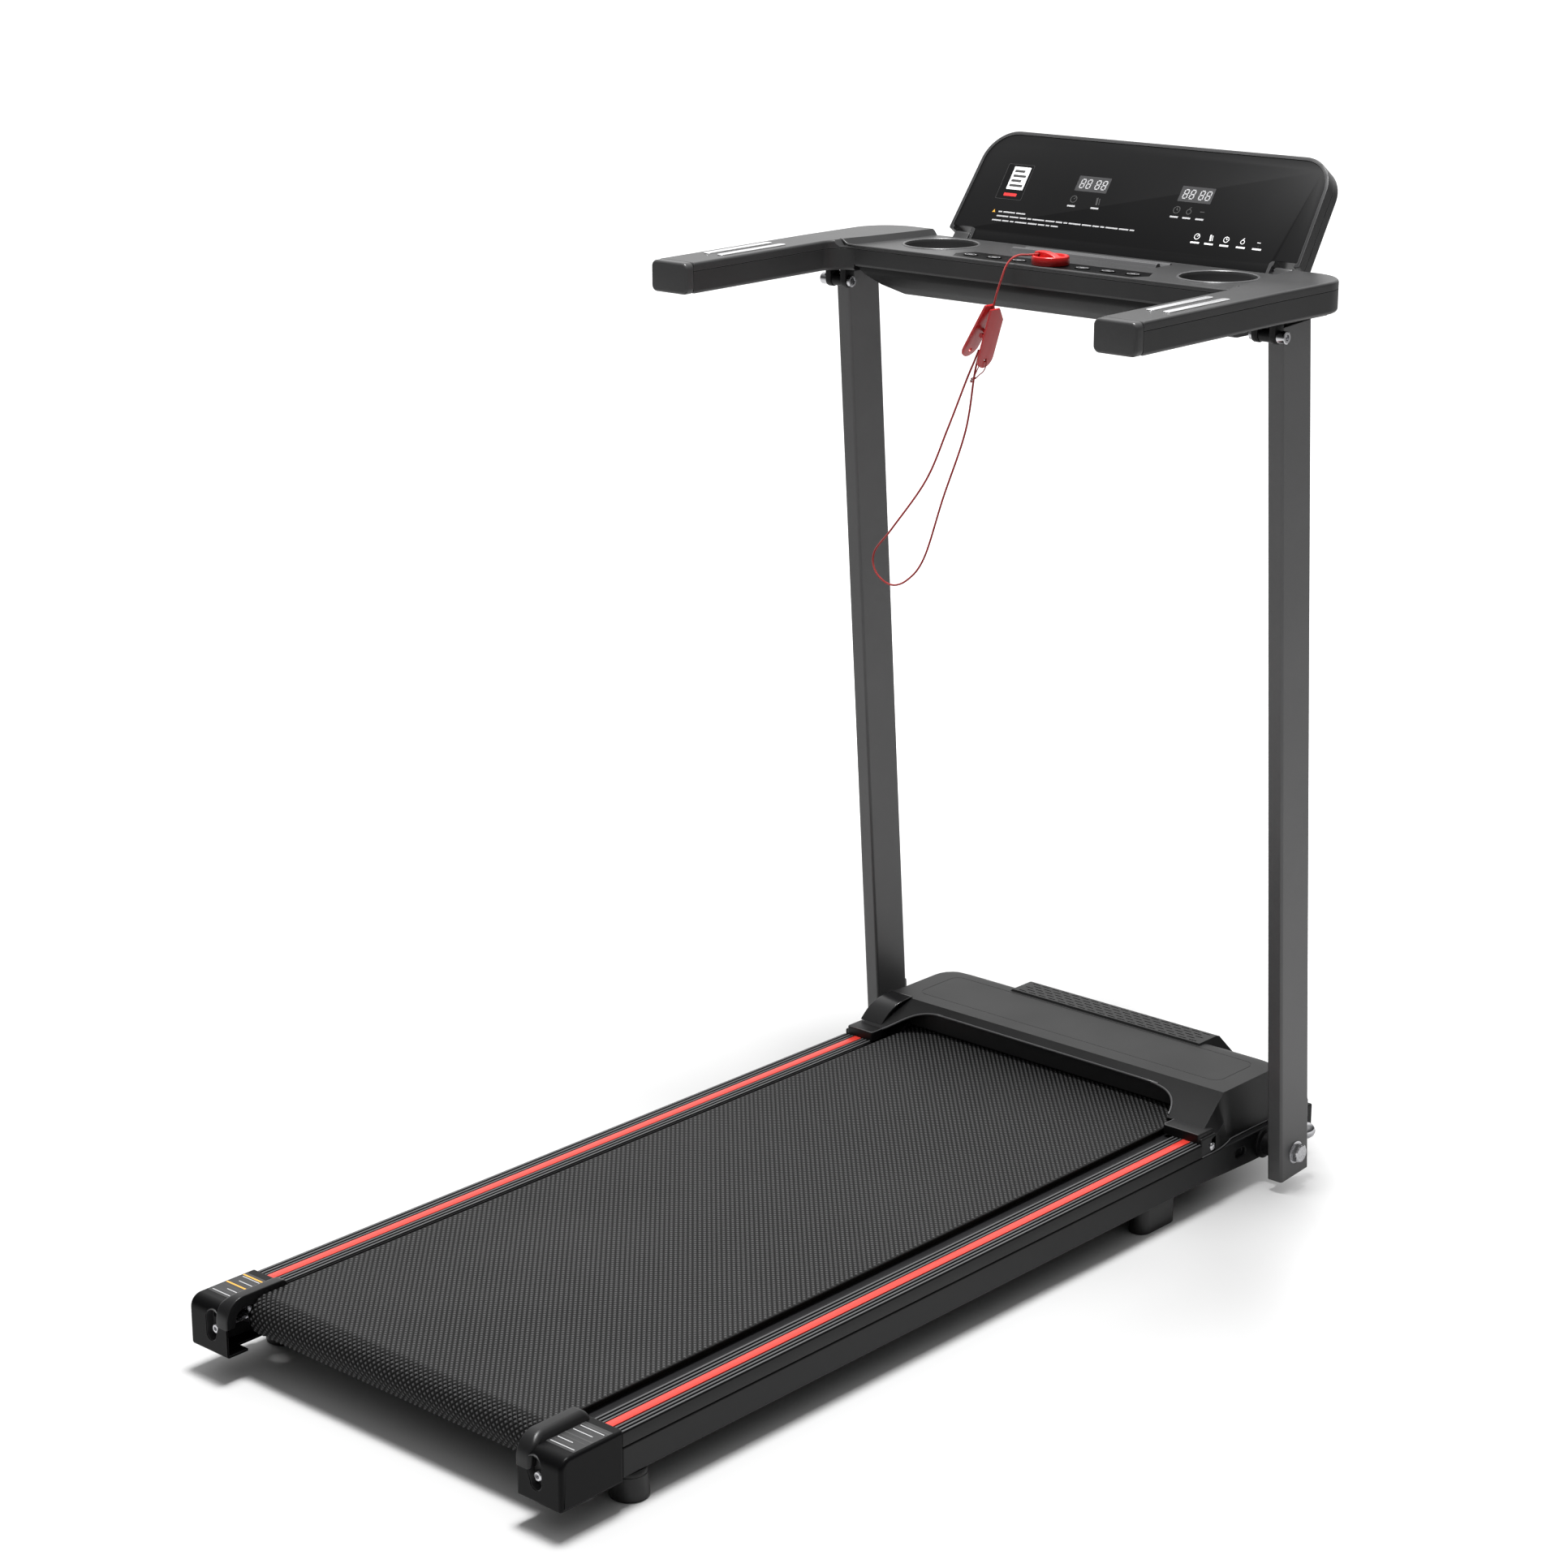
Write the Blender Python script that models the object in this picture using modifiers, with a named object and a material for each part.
# Folding motorised treadmill, modelled piece by piece.
# Metres, +Z up, +X to the runner's right, +Y forward (towards the motor end).
# Finished origin: floor level, middle of the length and of the width.
# Pieces are built with Y measured from the rear faces of the end caps; the last
# section moves them to the finished origin and hangs the moving ones on their axes.
import math
from contextlib import contextmanager

import bmesh
import bpy
from mathutils import Matrix, Vector

# ---------------------------------------------------------------- driving dimensions
ORIGIN_Y = 0.6056      # finished origin, from the rear faces of the end caps
SIDES = (1, -1)        # right, left
FIT = 0.0003           # clearance between fitted pieces

# Foot rails and the frame tubes under them
RAIL_Y0, RAIL_Y1 = 0.0800, 1.0050
TUBE_IN, TUBE_OUT = 0.2253, 0.2553
TUBE_Z0, TUBE_Z1 = 0.0300, 0.0600

# Rollers and running belt
ROLLER_R, ROLLER_Z = 0.0190, 0.0596
REAR_Y, FRONT_Y = 0.0490, 1.0350
AXLE_R = 0.0060
TENSION_X, TENSION_Z = 0.2236, 0.0510   # belt tension bolts, in the end caps

# Motor drive, on the left
PULLEY_R, MOTOR_PULLEY_R = 0.0260, 0.0110
GROOVE_PITCH, GROOVE_DEPTH = 0.0042, 0.0012
MOTOR_Y, MOTOR_Z = 1.1050, 0.0702

WHEEL_X, WHEEL_Y, WHEEL_Z = 0.2250, 1.1500, 0.0340

# Uprights; post coordinates have Y across and Z along the leaning post
POST_LEAN = math.atan(0.0706)    # towards the runner
POST_Y, POST_Z = 1.0650, 0.0134  # rear lower corner
POST_X0, POST_X1 = 0.2785, 0.2975
POST_DEPTH, POST_LENGTH, POST_WALL = 0.0522, 0.9518, 0.0018
PIVOT_Y, PIVOT_Z, PIVOT_BORE_R = 1.0905, 0.0427, 0.0064
PIN_Y, PIN_Z, PIN_BORE_R = 0.9900, 0.9550, 0.0044   # console hinge, behind the posts

TO_POST = Matrix.Translation((0, POST_Y, POST_Z)) @ Matrix.Rotation(POST_LEAN, 4, 'X')


def in_post(y, z):
    """A place in machine coordinates, expressed in post coordinates."""
    return TO_POST.inverted() @ Vector((0, y, z))


KNOB_X = 0.2880
KNOB_HEIGHT = in_post(1.1150, 0.0540).z   # along the post
KNOB_AT = TO_POST @ Vector((KNOB_X, POST_DEPTH, KNOB_HEIGHT))

# Console: U-shaped, with two arms reaching back to the runner
RIM_TOP, TRAY_TOP = 1.0047, 0.9978
SHELL_SPLIT, SPLIT_GAP = 0.9955, 0.0002   # gap is left on each side of the split
ARM_OUT, ARM_IN = 0.3172, 0.2659
ARM_END_Y, ARM_BOT = 0.7350, 0.9715
ARM_PITCH = 0.0096     # drop per metre towards the runner
ELBOW_Y = 0.9650       # where the arms leave the cross part
CONSOLE_FRONT = 1.1000

KEY_Y = 1.0014
KEY_XS = (-0.1080, -0.0757, -0.0422, 0.0422, 0.0757, 0.1080)
KEY_HALF_X, KEY_HALF_Y = 0.0085, 0.0050

# Display board; board coordinates have Y up the board and Z out of its face
BOARD_Y, BOARD_Z = 1.1179, 1.0037        # lower edge of the face
BOARD_TILT = math.radians(35.3)          # from the vertical, away from the runner
TILT_SIN, TILT_COS = math.sin(BOARD_TILT), math.cos(BOARD_TILT)
TO_BOARD = Matrix(((1, 0, 0, 0),
                   (0, TILT_SIN, -TILT_COS, BOARD_Y),
                   (0, TILT_COS, TILT_SIN, BOARD_Z),
                   (0, 0, 0, 1)))
HINGE_UP, HINGE_OUT = -0.0030, -0.0055   # display hinge in board coordinates
HINGE_Y = BOARD_Y + TILT_SIN * HINGE_UP - TILT_COS * HINGE_OUT
HINGE_Z = BOARD_Z + TILT_COS * HINGE_UP + TILT_SIN * HINGE_OUT

# Safety cord and the clothes clip on it
CORD_Y = 0.9500
CLIP_X, CLIP_Z = -0.0440, 0.9240
CLIP_AXIS_X = CLIP_X - 0.0015
CLIP_TILT = math.radians(20)

# ---------------------------------------------------------------- materials
COAT = dict(label="powder_coat", color=(0.060, 0.060, 0.062), roughness=0.55, metallic=0.1)
PLASTIC = dict(label="black_plastic", color=(0.050, 0.050, 0.052), roughness=0.60)
HOOD = dict(label="hood_plastic", color=(0.085, 0.085, 0.088), roughness=0.55)
BELT = dict(label="belt_pvc", color=(0.045, 0.045, 0.046), roughness=0.75)
RUBBER = dict(label="rubber", color=(0.025, 0.025, 0.026), roughness=0.85)
RED = dict(label="red_plastic", color=(0.80, 0.05, 0.04), roughness=0.45)
STEEL = dict(label="bright_steel", color=(0.62, 0.62, 0.64), roughness=0.28, metallic=1.0)
ALU = dict(label="anodised_rail", color=(0.12, 0.12, 0.125), roughness=0.45, metallic=0.6)
WOOD = dict(label="deck_wood", color=(0.05, 0.035, 0.025), roughness=0.6)
FILM = dict(label="panel_film", color=(0.035, 0.035, 0.037), roughness=0.35)
CHROME = dict(label="electrode", color=(0.78, 0.78, 0.80), roughness=0.20, metallic=1.0)


def material(piece_name, label, color, roughness, metallic=0.0):
    made = bpy.data.materials.new(f"{piece_name}_{label}")
    made.use_nodes = True
    inputs = made.node_tree.nodes["Principled BSDF"].inputs
    inputs["Base Color"].default_value = (*color, 1.0)
    inputs["Roughness"].default_value = roughness
    inputs["Metallic"].default_value = metallic
    made.diffuse_color = (*color, 1.0)
    return made


# ---------------------------------------------------------------- empty scene
for old_object in list(bpy.data.objects):
    bpy.data.objects.remove(old_object, do_unlink=True)
for old_collection in list(bpy.data.collections):
    bpy.data.collections.remove(old_collection)

PARTS = bpy.data.collections.new("folding_treadmill")
bpy.context.scene.collection.children.link(PARTS)


# ---------------------------------------------------------------- spans and outlines
def about(centre, half):
    return centre - half, centre + half


def span(side, inner, outer):
    """X range between two distances from the middle, low end first."""
    return tuple(sorted((side * inner, side * outer)))


def arc(cx, cy, radius, start, end, steps=5):
    """Points round an arc, angles in degrees."""
    angles = [math.radians(start + (end - start) * i / steps) for i in range(steps + 1)]
    return [(cx + radius * math.cos(angle), cy + radius * math.sin(angle)) for angle in angles]


def rounded_rect(xs, ys, radius, steps=3):
    (x0, x1), (y0, y1) = xs, ys
    return (arc(x1 - radius, y1 - radius, radius, 0, 90, steps)
            + arc(x0 + radius, y1 - radius, radius, 90, 180, steps)
            + arc(x0 + radius, y0 + radius, radius, 180, 270, steps)
            + arc(x1 - radius, y0 + radius, radius, 270, 360, steps))


def round_ended(y_high, y_low, z, radius, steps=5):
    """Slot shape with half-round ends centred at y_high and y_low."""
    return arc(y_high, z, radius, -90, 90, steps) + arc(y_low, z, radius, 90, 270, steps)


def mirrored_outline(points):
    return [(-x, y) for x, y in reversed(points)]


# ---------------------------------------------------------------- solids
def new_object(name, data):
    made = bpy.data.objects.new(name, data)
    PARTS.objects.link(made)
    return made


@contextmanager
def edited(mesh):
    work = bmesh.new()
    work.from_mesh(mesh)
    yield work
    work.to_mesh(mesh)
    work.free()


def everything(work):
    return list(work.verts) + list(work.edges) + list(work.faces)


def evaluated_mesh(piece):
    bpy.context.view_layer.update()
    graph = bpy.context.evaluated_depsgraph_get()
    return bpy.data.meshes.new_from_object(piece.evaluated_get(graph))


def tidy(mesh, weld=1e-6):
    with edited(mesh) as work:
        bmesh.ops.remove_doubles(work, verts=work.verts, dist=weld)
        bmesh.ops.dissolve_degenerate(work, edges=work.edges, dist=1e-7)
        bmesh.ops.recalc_face_normals(work, faces=work.faces)
    return mesh


def box(name, xs, ys, zs, bevel=0.0, segments=2):
    """Block over three (low, high) ranges."""
    ranges = (xs, ys, zs)
    mesh = bpy.data.meshes.new(name)
    with edited(mesh) as work:
        bmesh.ops.create_cube(work, size=1.0)
        bmesh.ops.scale(work, vec=[high - low for low, high in ranges], verts=work.verts)
        bmesh.ops.translate(work, vec=[(low + high) / 2 for low, high in ranges],
                            verts=work.verts)
        if bevel:
            bmesh.ops.bevel(work, geom=list(work.edges), offset=bevel, segments=segments,
                            profile=0.5, affect='EDGES', clamp_overlap=True)
    return new_object(name, mesh)


def standing(origin, direction):
    """Matrix that moves to origin and turns +Z to direction."""
    turn = Vector((0, 0, 1)).rotation_difference(Vector(direction).normalized())
    return Matrix.Translation(origin) @ turn.to_matrix().to_4x4()


def rod(name, start, end, radius, segments=20):
    start, end = Vector(start), Vector(end)
    mesh = bpy.data.meshes.new(name)
    with edited(mesh) as work:
        bmesh.ops.create_cone(work, cap_ends=True, segments=segments, radius1=radius,
                              radius2=radius, depth=(end - start).length)
        bmesh.ops.transform(work, matrix=standing((start + end) / 2, end - start),
                            verts=work.verts)
    return new_object(name, mesh)


def cross_rod(name, xs, y, z, radius, segments=20):
    """Rod along X."""
    return rod(name, (xs[0], y, z), (xs[1], y, z), radius, segments)


def add_path(curve, points, closed):
    path = curve.splines.new('POLY')
    path.points.add(len(points) - 1)
    for i, point in enumerate(points):
        path.points[i].co = (*point, 1.0)
    path.use_cyclic_u = closed


def curve_mesh(curve):
    """Turns a curve into a tidy mesh."""
    curve.resolution_u = 1
    curve.render_resolution_u = 0
    carrier = new_object(curve.name, curve)
    mesh = evaluated_mesh(carrier)
    bpy.data.objects.remove(carrier, do_unlink=True)
    return tidy(mesh)


# Turns a flat XY outline into each plane
PLANES = {
    'XY': Matrix(((1, 0, 0, 0), (0, 1, 0, 0), (0, 0, 1, 0), (0, 0, 0, 1))),
    'YZ': Matrix(((0, 0, 1, 0), (1, 0, 0, 0), (0, 1, 0, 0), (0, 0, 0, 1))),
    'XZ': Matrix(((1, 0, 0, 0), (0, 0, -1, 0), (0, 1, 0, 0), (0, 0, 0, 1))),
}


def slab(name, outlines, plane, reach):
    """Flat outline, with holes, extruded square to its plane over the (low, high) reach."""
    low, high = reach
    curve = bpy.data.curves.new(name, 'CURVE')
    curve.dimensions = '2D'
    curve.fill_mode = 'BOTH'
    curve.extrude = (high - low) / 2
    for outline in outlines:
        add_path(curve, [(x, y, 0.0) for x, y in outline], closed=True)
    mesh = curve_mesh(curve)
    middle = (low + high) / 2
    shift = {'XY': (0, 0, middle), 'YZ': (middle, 0, 0), 'XZ': (0, middle, 0)}[plane]
    mesh.transform(Matrix.Translation(shift) @ PLANES[plane])
    return new_object(name, tidy(mesh))


def turned(name, profile, origin, axis, steps=28):
    """Profile of (radius, height) pairs swept round an axis through origin.
    It runs down the outer side, top to bottom, and is closed on itself when it has
    no point on the axis."""
    count = len(profile)
    edges = [(i, i + 1) for i in range(count - 1)]
    if min(radius for radius, height in profile) > 1e-7:
        edges.append((count - 1, 0))
    mesh = bpy.data.meshes.new(name)
    mesh.from_pydata([(radius, 0, height) for radius, height in profile], edges, [])
    carrier = new_object(name, mesh)
    screw = carrier.modifiers.new("turn", 'SCREW')
    screw.axis = 'Z'
    screw.steps = steps
    screw.render_steps = steps
    screw.use_merge_vertices = True
    screw.merge_threshold = 0.00001
    screw.use_normal_calculate = True
    swept = evaluated_mesh(carrier)
    bpy.data.objects.remove(carrier, do_unlink=True)
    tidy(swept, 2e-6)
    swept.transform(standing(origin, axis))
    return new_object(name, swept)


def combine(target, tool, operation):
    boolean = target.modifiers.new("bool", 'BOOLEAN')
    boolean.operation = operation
    boolean.solver = 'EXACT'
    boolean.object = tool
    mesh = evaluated_mesh(target)
    target.modifiers.clear()
    old_mesh = target.data
    target.data = mesh
    bpy.data.meshes.remove(old_mesh)
    bpy.data.objects.remove(tool, do_unlink=True)
    tidy(mesh)


def join(target, *additions):
    for addition in additions:
        combine(target, addition, 'UNION')
    return target


def cut(target, *cutters):
    for cutter in cutters:
        combine(target, cutter, 'DIFFERENCE')
    return target


def slice_sides(piece, x, z, normal_x, normal_z):
    """Trims and caps both sides along sloping planes through (x, z) and (-x, z).
    The normal given is the outward one on the right."""
    normal = Vector((normal_x, 0, normal_z)).normalized()
    for side in SIDES:
        with edited(piece.data) as work:
            result = bmesh.ops.bisect_plane(
                work, geom=everything(work), dist=1e-7, plane_co=(side * x, 0, z),
                plane_no=(side * normal.x, 0, normal.z), clear_outer=True)
            rim = [e for e in result["geom_cut"] if isinstance(e, bmesh.types.BMEdge)]
            bmesh.ops.contextual_create(work, geom=rim)
            bmesh.ops.recalc_face_normals(work, faces=work.faces)


def finish(piece, look, angle=35):
    """Gives a piece its own material and smooth shading up to an edge angle."""
    piece.data.materials.clear()
    piece.data.materials.append(material(piece.name, **look))
    piece.data.shade_smooth()
    piece.data.set_sharp_from_angle(angle=math.radians(angle))


def finish_pair(right, stem, look):
    """Names the right-hand piece and makes its left-hand twin."""
    right.name = stem + "_r"
    mesh = right.data.copy()
    mesh.transform(Matrix.Scale(-1, 4, (1, 0, 0)))
    mesh.flip_normals()
    left = new_object(stem + "_l", mesh)
    finish(right, look)
    finish(left, look)


# ================================================================ base frame
def side_frame(side):
    """One welded side of the base frame."""
    low, high = TUBE_Z0 + 0.0010, TUBE_Z1 - 0.0010
    plate_outline = [(1.0100, low), (1.1860, low), (1.1860, 0.0520), (1.1800, high), (1.0100, high)]
    front_bracket = [(0.9900, 0.0330), (1.0560, 0.0330), (1.0560, 0.0730), (1.0160, 0.0730),
                     (1.0160, 0.0585), (0.9900, 0.0585)]
    rear_bracket = [(0.0250, 0.0315), (0.1000, 0.0315), (0.1000, 0.0585), (0.0785, 0.0585),
                    (0.0785, 0.0735), (0.0250, 0.0735)]
    hole_r = AXLE_R + 0.0005
    slot_half = 0.008      # travel of the rear axle each way
    frame = join(
        box("tube", span(side, TUBE_IN, TUBE_OUT), (RAIL_Y0, 1.0220), (TUBE_Z0, TUBE_Z1),
            bevel=0.0015, segments=1),
        slab("front_plate", [plate_outline], 'YZ', span(side, 0.2373, 0.2453)),
        cross_rod("pivot_boss", (side * 0.2440, side * 0.2755), PIVOT_Y, PIVOT_Z, 0.0125, 16),
        cross_rod("boss_flange", (side * 0.2750, side * 0.2781), PIVOT_Y, PIVOT_Z, 0.0165, 16),
        slab("front_bracket", [front_bracket, arc(FRONT_Y, ROLLER_Z, hole_r, 0, 330, 11)],
             'YZ', span(side, 0.2223, 0.2263)),
        cross_rod("wheel_stub", (side * 0.2400, side * 0.2150), WHEEL_Y, WHEEL_Z, 0.0040, 12))
    cut(frame,
        cross_rod("pivot_bore", (side * 0.2300, side * 0.2850), PIVOT_Y, PIVOT_Z,
                  PIVOT_BORE_R, 16),
        slab("plate_slot", [round_ended(1.0565, 1.0365, 0.0441, 0.0055)], 'YZ',
             span(side, 0.2300, 0.2500)),
        box("tube_hollow", span(side, 0.2292, TUBE_OUT - 0.0020), (RAIL_Y0 - 0.001, RAIL_Y1),
            (TUBE_Z0 + 0.0020, TUBE_Z1 - 0.0020)))
    axle_slot = round_ended(REAR_Y + slot_half, REAR_Y - slot_half, ROLLER_Z, hole_r)
    return join(frame, slab("rear_bracket", [rear_bracket, axle_slot], 'YZ',
                            span(side, 0.2290, 0.2325)))


def build_frame():
    frame = join(side_frame(1), side_frame(-1))
    for y in (0.1700, 0.4300, 0.6900, 0.9500):
        join(frame, box("cross_member", about(0, 0.2260), (y, y + 0.0260), (0.0425, 0.0594)))
    join(frame, box("motor_plate", about(0, 0.2390), (1.0680, 1.1240), (0.0312, 0.0335)))
    for x in (-0.1720, -0.0800):
        join(frame, box("motor_saddle", (x, x + 0.0200), (1.0880, 1.1220), (0.0325, 0.0368)))
    join(frame, box("front_member", about(0, 0.2390), (1.1745, 1.1845), (0.0312, 0.0560)))
    frame.name = "deck_frame"
    finish(frame, COAT)


# ================================================================ deck, belt and rollers
def build_deck():
    finish(box("deck_board", about(0, 0.1950), (0.0780, 1.0080), (0.0630, 0.0785),
               bevel=0.0015, segments=1), WOOD)
    cushion = box("deck_cushion", (0.1500, 0.1750), (0.1600, 0.9850), (0.0597, 0.0627),
                  bevel=0.0006, segments=1)
    finish_pair(cushion, "deck_cushion", RUBBER)


def build_running_belt():
    half_width = 0.2015
    thickness = 0.0018
    inner_r = ROLLER_R + FIT
    loops = [round_ended(FRONT_Y, REAR_Y, ROLLER_Z, radius, 10)
             for radius in (inner_r + thickness, inner_r)]
    finish(slab("running_belt", loops, 'YZ', about(0, half_width)), BELT)


def grooves(radius, start):
    """Profile points of three V-grooves, going down from height start."""
    points = []
    for i in range(3):
        height = start - GROOVE_PITCH * i
        points += [(radius, height), (radius - GROOVE_DEPTH, height - GROOVE_PITCH / 2)]
    return points


def build_rollers():
    """Hollow rollers turned about X; the left end of the front one carries the pulley."""
    half = 0.1980
    bevel = 0.0020
    end_r, bore_r = 0.0170, 0.0064
    neck_r = 0.0140
    pulley_right, pulley_left = -0.2035, -0.2205
    plain_end = [(end_r, -half), (bore_r, -half)]
    pulley_end = [(neck_r, -half), (neck_r, pulley_right), (PULLEY_R, pulley_right),
                  *grooves(PULLEY_R, -0.2060),
                  (PULLEY_R, -0.2190), (PULLEY_R, pulley_left), (bore_r, pulley_left)]
    for name, y, left_end in (("rear_roller", REAR_Y, plain_end),
                              ("front_roller", FRONT_Y, pulley_end)):
        profile = [(end_r, half), (ROLLER_R, half - bevel), (ROLLER_R, -half + bevel),
                   *left_end, (bore_r, half)]
        finish(turned(name, profile, (0, y, ROLLER_Z), (1, 0, 0), 24), STEEL)


def build_axles():
    rear = cross_rod("rear_axle", about(0, 0.2385), REAR_Y, ROLLER_Z, AXLE_R)
    for side in SIDES:
        # end block that takes the tension bolt
        join(rear, box("block", span(side, 0.2190, 0.2286), about(REAR_Y, 0.0080),
                       (TENSION_Z - 0.0050, ROLLER_Z + 0.0040)))
        x = side * TENSION_X
        cut(rear, rod("bolt_hole", (x, REAR_Y - 0.012, TENSION_Z),
                      (x, REAR_Y + 0.012, TENSION_Z), 0.0029, 10))
    finish(rear, STEEL)
    finish(cross_rod("front_axle", about(0, 0.2358), FRONT_Y, ROLLER_Z, AXLE_R), STEEL)


# ================================================================ foot rails and rear caps
def build_rails():
    """Foot rail with a low inner flange, and the red strip in the groove of its top."""
    outer_x = 0.2555
    inner_x = 0.2139       # inner edge of the high part
    flange_x = 0.1966      # inner edge of the flange
    bottom, top = 0.0610, 0.0758
    flange_bottom, flange_top = 0.0698, 0.0718
    groove_in, groove_out, groove_floor = 0.2297, 0.2400, 0.0742
    # (x, z)
    section = [(flange_x, flange_bottom), (inner_x, flange_bottom), (inner_x, bottom),
               (outer_x, bottom), (outer_x, top - 0.0010), (outer_x - 0.0010, top),
               (groove_out, top), (groove_out, groove_floor),
               (groove_in, groove_floor), (groove_in, top),
               (0.2155, top), (inner_x, 0.0742), (inner_x, flange_top), (flange_x, flange_top)]
    hollow = [(0.2165, 0.0632), (0.2533, 0.0632), (0.2533, 0.0722), (0.2165, 0.0722)]
    rail = slab("side_rail", [section, hollow], 'XZ', (RAIL_Y0, RAIL_Y1))
    finish_pair(rail, "side_rail", ALU)
    strip = box("rail_strip", (groove_in + FIT, groove_out - FIT),
                (RAIL_Y0 + 0.0004, RAIL_Y1 - 0.0004), (groove_floor + FIT, top - 0.0001))
    finish_pair(strip, "rail_strip", RED)


def build_end_caps():
    inner_x, outer_x = 0.2025, 0.2576
    front_y = 0.0794
    # side views, (y, z)
    body = arc(0.0130, 0.0655, 0.0130, 90, 180) + [(0.0, 0.0267), (front_y, 0.0267),
                                                   (front_y, 0.0785)]
    lip = [(front_y, 0.0760), (front_y, 0.0868), (0.0420, 0.0868),
           *arc(0.0420, 0.0588, 0.0280, 95, 150), (0.0150, 0.0700)]
    cavity = arc(0.0140, 0.0645, 0.0112, 90, 180) + [(0.0028, 0.0291), (0.0900, 0.0291),
                                                     (0.0900, 0.0757)]
    # recess round the bolt in the rear face, (x, z)
    recess = arc(0.2262, 0.0655, 0.0085, 10, 170) + arc(TENSION_X, 0.0490, 0.0085, 190, 350)
    cap = join(slab("end_cap", [body], 'YZ', (inner_x, outer_x)),
               slab("lip", [lip], 'YZ', (inner_x, 0.2090)))
    cut(cap, slab("cavity", [cavity], 'YZ', (0.1900, 0.2556)),
        slab("recess", [recess], 'XZ', about(0, 0.0100)))
    finish_pair(cap, "end_cap", PLASTIC)


def build_tension_bolts():
    head_r, shank_r = 0.0052, 0.0026
    bolt = turned("tension_bolt",
                  [(0.0, 0.0040), (head_r, 0.0040), (head_r, -0.0012), (shank_r, -0.0012),
                   (shank_r, -0.0540), (0.0, -0.0540)],
                  (TENSION_X, 0.0060, TENSION_Z), (0, -1, 0), 12)
    cut(bolt, rod("hex_socket", (TENSION_X, 0.0010, TENSION_Z),
                  (TENSION_X, 0.0048, TENSION_Z), 0.0026, 6))
    finish_pair(bolt, "tension_bolt", STEEL)


# ================================================================ feet and wheels
def build_feet():
    rear = turned("rear_foot", [(0.0, 0.0296), (0.0160, 0.0296), (0.0168, 0.0285),
                                (0.0191, 0.0020), (0.0180, 0.0), (0.0, 0.0)],
                  (0.2400, 0.1030, 0.0), (0, 0, 1), 20)
    finish_pair(rear, "rear_foot", RUBBER)
    x, radius = 0.2395, 0.0125
    outline = arc(x, 0.9225, radius, 0, 180, 6) + arc(x, 0.8845, radius, 180, 360, 6)
    finish_pair(slab("front_foot", [outline], 'XY', (0.0, 0.0297)), "front_foot", RUBBER)


def build_transport_wheels():
    half = 0.0085
    shoulder_r, tread_r, bore_r = 0.0185, 0.0205, 0.0043
    wheel = turned("transport_wheel",
                   [(shoulder_r, half), (tread_r, 0.0065), (tread_r, -0.0065),
                    (shoulder_r, -half), (bore_r, -half), (bore_r, half)],
                   (WHEEL_X, WHEEL_Y, WHEEL_Z), (1, 0, 0), 20)
    finish_pair(wheel, "transport_wheel", RUBBER)


# ================================================================ motor compartment
def build_motor():
    """Motor body and its shaft, both turned about X."""
    body_r, end_r, bore_r = 0.0330, 0.0280, 0.0055
    half = 0.0620
    body = turned("motor_body",
                  [(end_r, half), (body_r, 0.0580), (body_r, -0.0580),
                   (end_r, -half), (bore_r, -half), (bore_r, half)],
                  (-0.1150, MOTOR_Y, MOTOR_Z), (1, 0, 0), 20)
    finish(body, COAT)
    shaft_r = 0.0050
    pulley_right, pulley_left = -0.0685, -0.0855
    disc = [(shaft_r, 0.1060), (0.0290, 0.1060), (0.0300, 0.1050), (0.0300, 0.0960),
            (0.0290, 0.0950), (shaft_r, 0.0950)]
    profile = [(0.0, 0.1100), (shaft_r, 0.1100), *disc,
               (shaft_r, pulley_right), (MOTOR_PULLEY_R, pulley_right),
               *grooves(MOTOR_PULLEY_R, -0.0715),
               (MOTOR_PULLEY_R, pulley_left), (0.0, pulley_left)]
    shaft = turned("motor_shaft", profile, (-0.1350, MOTOR_Y, MOTOR_Z), (1, 0, 0), 18)
    finish(shaft, STEEL)


def drive_belt_outline(lift, steps=12):
    """Loop round both pulleys, lifted off their surfaces, in the YZ plane."""
    roller_r, motor_r = PULLEY_R + lift, MOTOR_PULLEY_R + lift
    run_y, run_z = MOTOR_Y - FRONT_Y, MOTOR_Z - ROLLER_Z
    heading = math.degrees(math.atan2(run_z, run_y))
    contact = math.degrees(math.acos((roller_r - motor_r) / math.hypot(run_y, run_z)))
    return (arc(FRONT_Y, ROLLER_Z, roller_r, heading + contact, heading + 360 - contact, steps)
            + arc(MOTOR_Y, MOTOR_Z, motor_r, heading - contact, heading + contact, steps))


def build_drive_belt():
    finish(slab("drive_belt", [drive_belt_outline(0.0018), drive_belt_outline(0.0004)], 'YZ',
                (-0.2190, -0.2050)), RUBBER)


def build_controller():
    """Motor controller: a block with seven fins."""
    controller = box("motor_controller", (0.0400, 0.1900), (1.0750, 1.1300), (0.0338, 0.0560))
    for i in range(7):
        x = 0.0500 + i * 0.0200
        join(controller, box("fin", (x, x + 0.0080), (1.0780, 1.1270), (0.0550, 0.0740)))
    finish(controller, ALU)


def build_belly_pan():
    outline = rounded_rect(about(0, 0.2135), (1.0640, 1.1730), 0.010)
    pan = slab("belly_pan", [outline], 'XY', (0.0270, 0.0308))
    for i in range(6):
        x = -0.1500 + i * 0.0600
        cut(pan, box("pan_slot", about(x, 0.018), (1.1300, 1.1350), (0.0200, 0.0400)))
    finish(pan, PLASTIC)


# ---------------------------------------------------------------- motor hood
HOOD_TOP, HOOD_HALF = 0.1136, 0.2575
BUMP_TOP = 0.1155
HOOD_CAVITY_TOP, HOOD_CAVITY_HALF = 0.1108, 0.2550
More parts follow.
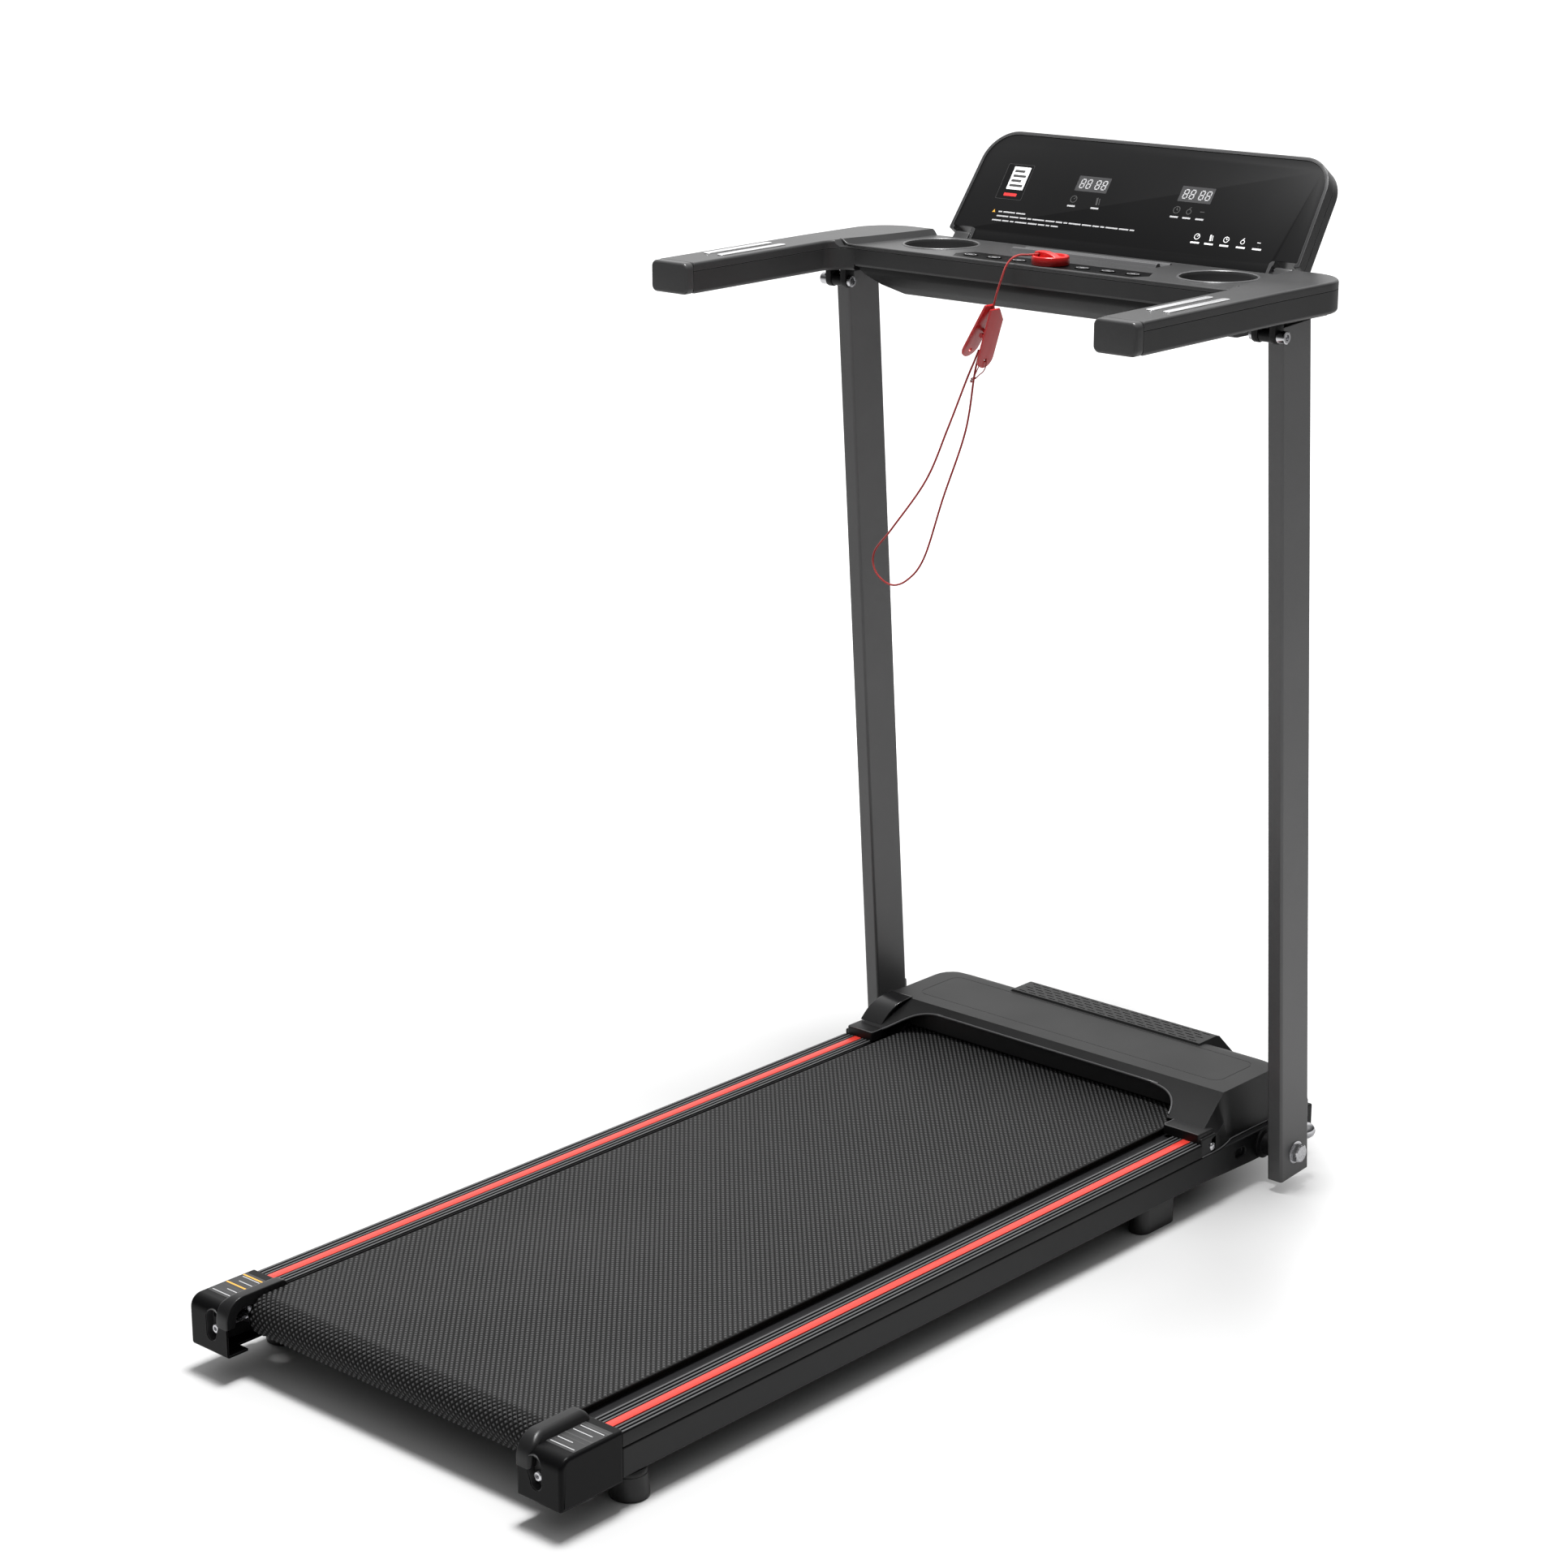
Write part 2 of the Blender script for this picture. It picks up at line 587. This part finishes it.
# side views, (y, z)
HOOD_OUTLINE = [(1.0104, 0.0764), (1.0343, HOOD_TOP), (1.1350, HOOD_TOP), (1.1490, 0.1120),
                (1.1780, 0.0860), (1.1880, 0.0606), (1.0104, 0.0606)]
HOOD_CAVITY = [(0.9000, 0.0400), (0.9000, 0.0700), (1.0135, 0.0700), (1.0135, 0.0755),
               (1.0362, HOOD_CAVITY_TOP), (1.1340, HOOD_CAVITY_TOP), (1.1475, 0.1096),
               (1.1755, 0.0845), (1.1855, 0.0590), (1.1855, 0.0400)]
BUMP_OUTLINE = [(1.1290, 0.1100), (1.1330, BUMP_TOP), (1.1700, BUMP_TOP), (1.1830, 0.0900),
                (1.1500, 0.0900)]
BUMP_CAVITY = [(1.1360, 0.1000), (1.1360, 0.1128), (1.1685, 0.1128), (1.1790, 0.0925),
               (1.1600, 0.0925)]
SCOOP = [(1.0500, 0.0500), (1.0500, 0.0650), (1.0650, 0.0830), (1.1300, 0.0830),
         (1.1450, 0.0650), (1.1450, 0.0500)]
SCOOP_WALL = [(1.0475, 0.0606), (1.0475, 0.0660), (1.0640, 0.0850), (1.1310, 0.0850),
              (1.1475, 0.0660), (1.1475, 0.0606)]


def hood_shell():
    """Hollow shell with sloping sides and a raised bump for the air slots."""
    hood = slab("motor_hood", [HOOD_OUTLINE], 'YZ', about(0, HOOD_HALF))
    top_half = 0.2377
    slice_sides(hood, top_half, HOOD_TOP, HOOD_TOP - 0.0660, HOOD_HALF - top_half)
    bump = slab("vent_bump", [BUMP_OUTLINE], 'YZ', about(0, 0.1500))
    slice_sides(bump, 0.1330, BUMP_TOP, 0.0255, 0.0170)
    join(hood, bump)
    cavity = slab("hood_cavity", [HOOD_CAVITY], 'YZ', about(0, HOOD_CAVITY_HALF))
    top_half = 0.2350
    slice_sides(cavity, top_half, HOOD_CAVITY_TOP, HOOD_CAVITY_TOP - 0.0590,
                HOOD_CAVITY_HALF - top_half)
    return cut(hood, cavity, slab("bump_cavity", [BUMP_CAVITY], 'YZ', about(0, 0.1300)))


def open_over_belt(hood):
    """Arched opening over the belt, and the wall set back inside it."""
    half, wall_y = 0.1850, 1.0302
    corner_r = 0.0280
    corner_x = half - corner_r
    outline = [(-half, 0.0300), (-half, 0.0780), *arc(-corner_x, 0.0790, corner_r, 180, 90, 6),
               *arc(corner_x, 0.0790, corner_r, 90, 0, 6), (half, 0.0780), (half, 0.0300)]
    cut(hood, slab("arch", [outline], 'XZ', (1.0000, wall_y)),
        box("underside", about(0, 0.2225), (1.0000, 1.0450), (0.0500, 0.0812)))
    join(hood, box("back_wall", about(0, 0.1960), (wall_y, 1.0327), (0.0830, 0.1112)))


def add_hood_side(hood, side):
    """Low shoe over the end of the foot rail, skirt, and scoop beside the post."""
    shoe = box("shoe", span(side, 0.2021, HOOD_HALF), (0.9700, 1.0060), (0.0761, 0.0835),
               bevel=0.0015, segments=1)
    join(shoe, box("heel", span(side, 0.2230, 0.2560), (1.0000, 1.0150), (0.0765, 0.0830)))
    join(hood, shoe, box("skirt", span(side, 0.2558, HOOD_HALF), (0.9720, 1.0200),
                         (0.0615, 0.0790)))
    scoop_x = 0.2478
    cut(hood, slab("scoop", [SCOOP], 'YZ', span(side, scoop_x, 0.2700)))
    join(hood, slab("scoop_wall", [SCOOP_WALL], 'YZ', span(side, 0.2453, scoop_x)))


def cut_air_slots(hood):
    """Three staggered rows of five, four and five slots."""
    pitch = 0.0500
    for row in range(3):
        odd = row % 2
        for i in range(5 - odd):
            x = -0.1000 + i * pitch + pitch / 2 * odd
            y = 1.1430 + row * 0.0090
            cut(hood, box("air_slot", about(x, 0.0190), about(y, 0.0014), (0.1050, 0.1200)))


def build_hood():
    hood = hood_shell()
    open_over_belt(hood)
    for side in SIDES:
        add_hood_side(hood, side)
    cut_air_slots(hood)
    finish(hood, HOOD, 30)
    build_power_inlet(hood)


def build_power_inlet(hood):
    """Mains socket and rocker switch in the front of the hood."""
    socket_x0, socket_x1 = 0.1500, 0.1780
    hole_z0, hole_z1 = 0.0640, 0.0800
    for xs in ((socket_x0, socket_x1), (0.1900, 0.2120)):
        cut(hood, box("inlet_hole", xs, (1.1600, 1.1950), (hole_z0, hole_z1)))
    socket = box("power_socket", (socket_x0 + FIT, socket_x1 - FIT), (1.1640, 1.1900),
                 (hole_z0 + FIT, hole_z1 - FIT))
    cut(socket, box("well", (0.1535, 0.1745), (1.1700, 1.2000), (0.0670, 0.0770)))
    finish(socket, PLASTIC)
    rocker = [(1.1720, 0.0655), (1.1880, 0.0665), (1.1872, 0.0720), (1.1895, 0.0775),
              (1.1720, 0.0785)]
    finish(slab("power_switch", [rocker], 'YZ', (0.1910, 0.2110)), RED)


def build_hood_trim():
    """Thin bulging trim on the left of the hood's sloping rear face."""
    top_y, top_z = 1.0352, 0.1142
    bottom_y, bottom_z = 1.0060, 0.0850
    stand_off, bulge_height = 0.0016, 0.0060
    steps = 6
    outer = []
    for i in range(steps + 1):
        t = i / steps
        bulge = bulge_height * math.sin(math.pi * t)
        outer.append((top_y + (bottom_y - top_y) * t - stand_off - bulge * 0.86,
                      top_z + (bottom_z - top_z) * t + stand_off + bulge * 0.5))
    inner = [(y + 0.0017, z - 0.0009) for y, z in reversed(outer)]
    finish(slab("hood_trim", [outer + inner], 'YZ', (-0.2370, -0.2060)), HOOD)


# ================================================================ uprights
def build_uprights():
    post = box("upright", (POST_X0, POST_X1), (0.0, POST_DEPTH), (0.0, POST_LENGTH),
               bevel=0.0020, segments=1)
    pivot = in_post(PIVOT_Y, PIVOT_Z)
    cut(post,
        box("hollow", (POST_X0 + POST_WALL, POST_X1 - POST_WALL),
            (POST_WALL, POST_DEPTH - POST_WALL), (0.0030, POST_LENGTH + 0.01)),
        cross_rod("pivot_hole", (0.2700, 0.3100), pivot.y, pivot.z, PIVOT_BORE_R, 16),
        rod("knob_hole", (KNOB_X, POST_DEPTH - 0.006, KNOB_HEIGHT),
            (KNOB_X, POST_DEPTH + 0.006, KNOB_HEIGHT), 0.0034, 10))
    # hinge barrel behind the rear face, near the top, on a web
    pin = in_post(PIN_Y, PIN_Z)
    barrel_x = (0.2776, 0.2914)
    join(post,
         # keeper plate of the fold lock on the front face
         box("keeper", (0.2815, 0.2945), (POST_DEPTH - 0.0008, POST_DEPTH + 0.0035),
             (0.0590, 0.0810), bevel=0.0010, segments=1),
         box("web", barrel_x, (pin.y, 0.0010), about(pin.z, 0.0055)),
         cross_rod("barrel", barrel_x, pin.y, pin.z, 0.0066, 16))
    cut(post, cross_rod("barrel_bore", (0.2700, 0.3000), pin.y, pin.z, PIN_BORE_R, 14))
    post.data.transform(TO_POST)
    finish_pair(post, "upright", COAT)


def build_pivot_bolts():
    bolt = join(cross_rod("pivot_bolt", (0.2978, 0.3058), PIVOT_Y, PIVOT_Z, 0.0110, 6),
                cross_rod("shank", (0.3000, 0.2350), PIVOT_Y, PIVOT_Z, 0.0060, 16))
    finish_pair(bolt, "pivot_bolt", STEEL)


def build_lock_knobs():
    """Screw knobs of the fold lock, turned about an axis square to the post face."""
    grip_r, neck_r, screw_r = 0.0088, 0.0060, 0.0030
    knob = turned("lock_knob",
                  [(0.0, 0.0190), (0.0045, 0.0185), (0.0080, 0.0160), (grip_r, 0.0120),
                   (grip_r, 0.0060), (neck_r, 0.0040), (neck_r, 0.0006), (screw_r, 0.0006),
                   (screw_r, -0.0090), (0.0, -0.0090)],
                  (KNOB_X, POST_DEPTH, KNOB_HEIGHT), (0, 1, 0), 14)
    knob.data.transform(TO_POST)
    finish_pair(knob, "lock_knob", CHROME)


# ================================================================ console
ARM_WALL, ARM_SKIN = 0.0030, 0.0025   # side walls; top and bottom skins
ARM_HOLLOW_Y = (ARM_END_Y - 0.01, 1.0450)


def console_outline():
    """U shape of the console and arms seen from above, counter-clockwise."""
    outer_r, inner_r = 0.0450, 0.0240
    right = [(ARM_IN, ARM_END_Y), (ARM_OUT, ARM_END_Y),
             *arc(ARM_OUT - outer_r, CONSOLE_FRONT - outer_r, outer_r, 0, 90, 6)]
    elbow = arc(ARM_IN - inner_r, ELBOW_Y - inner_r, inner_r, 90, 0)
    return right + mirrored_outline(right) + mirrored_outline(elbow) + elbow


def drop_arms(piece):
    """Bends a piece at the elbow line so the arms fall slightly towards the runner."""
    with edited(piece.data) as work:
        bmesh.ops.bisect_plane(work, geom=everything(work), dist=1e-7,
                               plane_co=(0, ELBOW_Y, 0), plane_no=(0, 1, 0))
    for vertex in piece.data.vertices:
        if vertex.co.y < ELBOW_Y:
            vertex.co.z += ARM_PITCH * (vertex.co.y - ELBOW_Y)


def arm_hollow(side, zs):
    return box("arm_hollow", span(side, ARM_IN + ARM_WALL, ARM_OUT - ARM_WALL),
               ARM_HOLLOW_Y, zs)


def key_outline(x, margin, corner_r):
    return rounded_rect(about(x, KEY_HALF_X + margin), about(KEY_Y, KEY_HALF_Y + margin),
                        corner_r, 2)


def build_upper_shell():
    """Upper shell with the sunken tray, two cups, tablet ledge and key pockets."""
    upper = slab("console_upper_shell", [console_outline()], 'XY',
                 (SHELL_SPLIT + SPLIT_GAP, RIM_TOP))
    # right half of the tray, (x, y)
    tray_right = [(0.2640, 0.9550), (0.2600, 0.9720), (0.2385, 1.0960), (0.2385, 1.1200)]
    cut(upper, slab("tray", [tray_right + mirrored_outline(tray_right)], 'XY',
                    (TRAY_TOP, RIM_TOP + 0.01)))
    cup_x, cup_y = 0.1845, 1.0450
    flange_z = TRAY_TOP + 0.0002
    cup_profile = [(0.0, 0.9510), (0.0380, 0.9510), (0.0405, flange_z), (0.0428, flange_z),
                   (0.0400, 0.9490), (0.0, 0.9490)]
    for side in SIDES:
        x = side * cup_x
        cut(upper, arm_hollow(side, (0.9900, RIM_TOP - ARM_SKIN)),
            rod("cup_hole", (x, cup_y, 0.98), (x, cup_y, 1.02), 0.0418))
        join(upper, turned("cup", cup_profile, (x, cup_y, 0.0), (0, 0, 1), 20))
    join(upper, box("ledge", about(0, 0.0966), (1.0660, 1.0700),
                    (TRAY_TOP - 0.0010, TRAY_TOP + 0.0045)))
    for x in KEY_XS:
        cut(upper, slab("key_pocket", [key_outline(x, 0.0005, 0.0050)], 'XY',
                        (TRAY_TOP - 0.0014, TRAY_TOP + 0.0100)))
    drop_arms(upper)
    finish(upper, PLASTIC, 30)


# Belly between the arms: side views, (y, z), and the outward normal of its right side
BELLY_TOP = SHELL_SPLIT - SPLIT_GAP
BELLY_BOT, BELLY_CAVITY_BOT = 0.9405, 0.9430
BELLY_OUTLINE = [(0.9652, BELLY_TOP), (0.9652, 0.9777), (0.9770, 0.9660), (0.9950, 0.9420),
                 (1.0000, BELLY_BOT), (1.0900, BELLY_BOT), (1.0980, 0.9480),
                 (1.0998, BELLY_TOP)]
BELLY_CAVITY = [(0.9680, 1.0100), (0.9680, 0.9790), (0.9795, 0.9675), (0.9970, 0.9438),
                (1.0010, BELLY_CAVITY_BOT), (1.0890, BELLY_CAVITY_BOT), (1.0955, 0.9495),
                (1.0970, 1.0100)]
BELLY_NORMAL = (0.86, -0.50)


def add_console_mounts(lower, side):
    """Seat over the post, its two hinge lugs, and the display lug with its stub pin."""
    lug_top = ARM_BOT + 0.0008
    join(lower, box("seat", span(side, 0.2745, 0.3010), (0.9992, 1.0750), (0.9671, lug_top)))
    lug_r = 0.0078
    for inner, outer in ((0.2700, 0.2773), (0.2917, 0.2990)):
        xs = span(side, inner, outer)
        join(lower, join(cross_rod("lug", xs, PIN_Y, PIN_Z, lug_r, 14),
                         box("lug_web", xs, (PIN_Y - lug_r, PIN_Y + 0.0070),
                             (PIN_Z, lug_top))))
    xs = span(side, 0.2045, 0.2255)
    arm_outline = [(1.0962, 0.9840), (1.1210, 0.9930), (1.1210, 0.9960), (1.1150, 0.9945),
                   (1.0962, 0.9935)]
    join(lower, join(cross_rod("display_lug", xs, HINGE_Y, HINGE_Z, 0.0050, 12),
                     slab("lug_arm", [arm_outline], 'YZ', xs),
                     cross_rod("stub_pin", (side * 0.2060, side * 0.1930), HINGE_Y, HINGE_Z,
                               0.0021, 10)))
    cut(lower, cross_rod("lug_bore", (side * 0.2650, side * 0.3050), PIN_Y, PIN_Z,
                         PIN_BORE_R, 14))


def build_lower_shell():
    lower = slab("console_lower_shell", [console_outline()], 'XY', (ARM_BOT, BELLY_TOP))
    belly = slab("belly", [BELLY_OUTLINE], 'YZ', about(0, 0.2400))
    slice_sides(belly, 0.2250, BELLY_BOT, *BELLY_NORMAL)
    # clear the underside of the cross part before the belly goes in
    cut(lower, box("middle", about(0, 0.2400), (0.9600, 1.1050), (0.9600, 0.9780)))
    join(lower, belly)
    for side in SIDES:
        cut(lower, arm_hollow(side, (ARM_BOT + ARM_SKIN, 1.0100)))
    cavity = slab("belly_cavity", [BELLY_CAVITY], 'YZ', about(0, 0.2360))
    slice_sides(cavity, 0.2235, BELLY_CAVITY_BOT, *BELLY_NORMAL)
    cut(lower, cavity)
    for side in SIDES:
        add_console_mounts(lower, side)
    drop_arms(lower)
    finish(lower, PLASTIC, 30)


def build_hinge_bolts():
    head_r, shank_r = 0.0065, 0.0040
    # heights are X positions on the right
    bolt = turned("hinge_bolt",
                  [(0.0, 0.3083), (0.0062, 0.3083), (head_r, 0.3078), (head_r, 0.2994),
                   (shank_r, 0.2994), (shank_r, 0.2660), (0.0, 0.2660)],
                  (0, PIN_Y, PIN_Z), (1, 0, 0), 14)
    cut(bolt, cross_rod("hex_socket", (0.3050, 0.3100), PIN_Y, PIN_Z, 0.0033, 6))
    finish_pair(bolt, "hinge_bolt", CHROME)


def build_arm_fittings():
    """Caps on the arm ends and two hand pulse plates along each arm top."""
    cap = box("arm_cap", (ARM_IN - 0.0002, ARM_OUT + 0.0002), (0.7246, ARM_END_Y - FIT),
              (0.9690, 1.0027), bevel=0.0050)
    finish_pair(cap, "arm_cap", PLASTIC)
    for number, x in ((1, 0.2815), (2, 0.3015)):
        stem = f"pulse_plate_{number}"
        plate = box(stem, about(x, 0.0048), (0.7900, 0.8940),
                    (RIM_TOP + 0.0003, RIM_TOP + 0.0012), bevel=0.0003, segments=1)
        drop_arms(plate)
        finish_pair(plate, stem, CHROME)


def build_keys():
    for number, x in enumerate(KEY_XS, 1):
        finish(slab(f"key_{number}", [key_outline(x, 0.0, 0.0046)], 'XY',
                    (TRAY_TOP - 0.0003, TRAY_TOP + 0.0007)), RED)


# ================================================================ display board
def board_outline(inset=0.0, foot=-0.0150, notch=0.0050):
    """Board with rounded top corners and a narrower tongue below, in board coordinates."""
    half, height = 0.2340, 0.1283
    tongue_half = 0.2010 - inset
    corner_r = 0.0400 - inset
    side_x = half - 0.0038 - inset
    right = [(tongue_half, foot + inset), (tongue_half, notch + inset),
             (half - inset, notch + inset),
             *arc(side_x - corner_r, height - inset - corner_r, corner_r, 0, 90, 6)]
    return right + mirrored_outline(right)


def build_display():
    shell = slab("display_rear_shell", [board_outline()], 'XY', (-0.0235, 0.0))
    cut(shell, slab("rebate", [board_outline(0.0035)], 'XY', (-0.0027, 0.0100)),
        slab("space", [board_outline(0.0060, foot=0.0060, notch=0.0060)], 'XY',
             (-0.0210, 0.0100)))
    for side in SIDES:
        cut(shell, cross_rod("hinge_bore", (side * 0.1900, side * 0.2100), HINGE_UP, HINGE_OUT,
                             0.0025, 10))
    panel = slab("display_panel", [board_outline(0.0038)], 'XY', (-0.0024, -0.0002))
    for piece, look in ((shell, PLASTIC), (panel, FILM)):
        piece.data.transform(TO_BOARD)
        finish(piece, look)


# ================================================================ safety key, cord and clip
def build_safety_key():
    rim_r = 0.0203
    key = turned("safety_key",
                 [(0.0, 0.0090), (0.0170, 0.0088), (0.0196, 0.0075), (rim_r, 0.0055),
                  (rim_r, 0.0), (0.0, 0.0)], (0, KEY_Y, TRAY_TOP + FIT), (0, 0, 1), 20)
    join(key, box("grip", about(0, 0.0145), about(KEY_Y, 0.0035),
                  (TRAY_TOP + 0.0080, TRAY_TOP + 0.0135), bevel=0.0015))
    finish(key, RED)


def through_points(points, steps):
    """Catmull-Rom points through a list of guide points."""
    knots = [Vector(point) for point in points]
    knots = [knots[0] * 2 - knots[1]] + knots + [knots[-1] * 2 - knots[-2]]
    path = []
    for before, start, end, after in zip(knots, knots[1:], knots[2:], knots[3:]):
        for i in range(steps):
            t = i / steps
            path.append(0.5 * ((2 * start) + (end - before) * t
                               + (2 * before - 5 * start + 4 * end - after) * t * t
                               + (3 * start - before - 3 * end + after) * t ** 3))
    path.append(knots[-2])
    return path


# From the safety key down through the hanging loop and back up to the clip
CORD_GUIDE = [
    (-0.0185, 0.9890, 1.0095), (-0.0200, 0.9750, 1.0105), (-0.0230, 0.9605, 1.0060),
    (-0.0275, 0.9530, 0.9890), (-0.0310, CORD_Y, 0.9690), (-0.0366, CORD_Y, 0.9480),
    (-0.0480, CORD_Y, 0.9160), (-0.0580, CORD_Y, 0.8850), (-0.0700, CORD_Y, 0.8180),
    (-0.1000, CORD_Y, 0.7400), (-0.1270, CORD_Y, 0.6720), (-0.1500, CORD_Y, 0.6410),
    (-0.1750, CORD_Y, 0.6330), (-0.1970, CORD_Y, 0.6480), (-0.1930, CORD_Y, 0.6740),
    (-0.1600, CORD_Y, 0.7100), (-0.1240, CORD_Y, 0.7570), (-0.0930, CORD_Y - 0.003, 0.8180),
    (-0.0660, CORD_Y - 0.003, 0.8750)]


def build_cord():
    curve = bpy.data.curves.new("safety_cord", 'CURVE')
    curve.dimensions = '3D'
    curve.bevel_depth = 0.0010
    curve.bevel_resolution = 0
    curve.use_fill_caps = True
    add_path(curve, through_points(CORD_GUIDE, 2), closed=False)
    finish(new_object("safety_cord", curve_mesh(curve)), RED)


def clip_half(name, plate_x, barrel_y, web_x, web_y):
    """Clip plate webbed to its barrel; ranges are offsets from the clip centre."""
    def from_clip(centre, offsets):
        return centre + offsets[0], centre + offsets[1]

    half = 0.0095
    outline = [(CORD_Y - half, 0.9440), (CORD_Y - 0.0060, 0.9560), (CORD_Y + 0.0060, 0.9560),
               (CORD_Y + half, 0.9440), *arc(CORD_Y, 0.9010, half, 0, -180, 6)]
    y0, y1 = from_clip(CORD_Y, barrel_y)
    piece = join(slab(name, [outline], 'YZ', from_clip(CLIP_X, plate_x)),
                 rod("barrel", (CLIP_AXIS_X, y0, CLIP_Z), (CLIP_AXIS_X, y1, CLIP_Z), 0.0026, 14),
                 box("web", from_clip(CLIP_X, web_x), from_clip(CORD_Y, web_y),
                     about(CLIP_Z, 0.0012)))
    centre = Vector((CLIP_X, CORD_Y, CLIP_Z))
    piece.data.transform(Matrix.Translation(centre) @ Matrix.Rotation(CLIP_TILT, 4, 'Y')
                         @ Matrix.Translation(-centre))
    finish(piece, RED)


def build_clip():
    clip_half("clip_body", plate_x=(0.0050, 0.0075), barrel_y=(-0.0075, -0.0030),
              web_x=(-0.0015, 0.0060), web_y=(-0.0075, -0.0035))
    clip_half("clip_jaw", plate_x=(-0.0115, -0.0090), barrel_y=(0.0030, 0.0075),
              web_x=(-0.0100, -0.0015), web_y=(0.0035, 0.0075))


# ================================================================ build
for build in (build_frame, build_deck, build_running_belt, build_rollers, build_axles,
              build_rails, build_end_caps, build_tension_bolts, build_feet,
              build_transport_wheels, build_motor, build_drive_belt, build_controller,
              build_belly_pan, build_hood, build_hood_trim, build_uprights,
              build_pivot_bolts, build_lock_knobs, build_upper_shell, build_lower_shell,
              build_hinge_bolts, build_arm_fittings, build_keys, build_display,
              build_safety_key, build_cord, build_clip):
    build()

# ================================================================ finished origin and axes
for built in list(PARTS.objects):
    built.data.transform(Matrix.Translation((0, -ORIGIN_Y, 0)))

AXIS_AT = {}   # finished place of each axis, by name


def add_axis(name, place, members, parent=None):
    """Empty on a joint axis; its members take their origin there."""
    x, y, z = place
    at = Vector((x, y - ORIGIN_Y, z))
    AXIS_AT[name] = at
    empty = new_object(name, None)
    empty.empty_display_size = 0.03
    if parent:
        empty.parent = bpy.data.objects[parent]
        empty.location = at - AXIS_AT[parent]
    else:
        empty.location = at
    for member in members:
        piece = bpy.data.objects[member]
        piece.data.transform(Matrix.Translation(-at))
        piece.parent = empty


HANDS = (("l", -1), ("r", 1))
UPRIGHT_AXIS, CONSOLE_AXIS = "axis_upright_fold", "axis_console_fold"

add_axis("axis_rear_roller", (0, REAR_Y, ROLLER_Z), ["rear_roller"])
add_axis("axis_front_roller", (0, FRONT_Y, ROLLER_Z), ["front_roller"])
add_axis("axis_motor", (0, MOTOR_Y, MOTOR_Z), ["motor_shaft"])
for hand, side in HANDS:
    add_axis(f"axis_wheel_{hand}", (side * WHEEL_X, WHEEL_Y, WHEEL_Z),
             [f"transport_wheel_{hand}"])
add_axis("axis_switch", (0.2010, 1.1790, 0.0720), ["power_switch"])
add_axis(UPRIGHT_AXIS, (0, PIVOT_Y, PIVOT_Z), ["upright_l", "upright_r"])
for hand, side in HANDS:
    add_axis(f"axis_knob_{hand}", (side * KNOB_AT.x, KNOB_AT.y, KNOB_AT.z),
             [f"lock_knob_{hand}"], UPRIGHT_AXIS)
add_axis(CONSOLE_AXIS, (0, PIN_Y, PIN_Z),
         ["console_upper_shell", "console_lower_shell"]
         + [f"{stem}_{hand}" for stem in ("hinge_bolt", "arm_cap", "pulse_plate_1",
                                          "pulse_plate_2") for hand in "lr"],
         UPRIGHT_AXIS)
add_axis("axis_display_fold", (0, HINGE_Y, HINGE_Z), ["display_rear_shell", "display_panel"],
         CONSOLE_AXIS)
for number, x in enumerate(KEY_XS, 1):
    add_axis(f"axis_key_{number}", (x, KEY_Y, TRAY_TOP), [f"key_{number}"], CONSOLE_AXIS)
add_axis("axis_safety_key", (0, KEY_Y, TRAY_TOP), ["safety_key"], CONSOLE_AXIS)
add_axis("axis_cord", (0, KEY_Y, TRAY_TOP + 0.0110), ["safety_cord", "clip_body"],
         "axis_safety_key")
add_axis("axis_clip", (CLIP_AXIS_X, CORD_Y, CLIP_Z), ["clip_jaw"], "axis_cord")
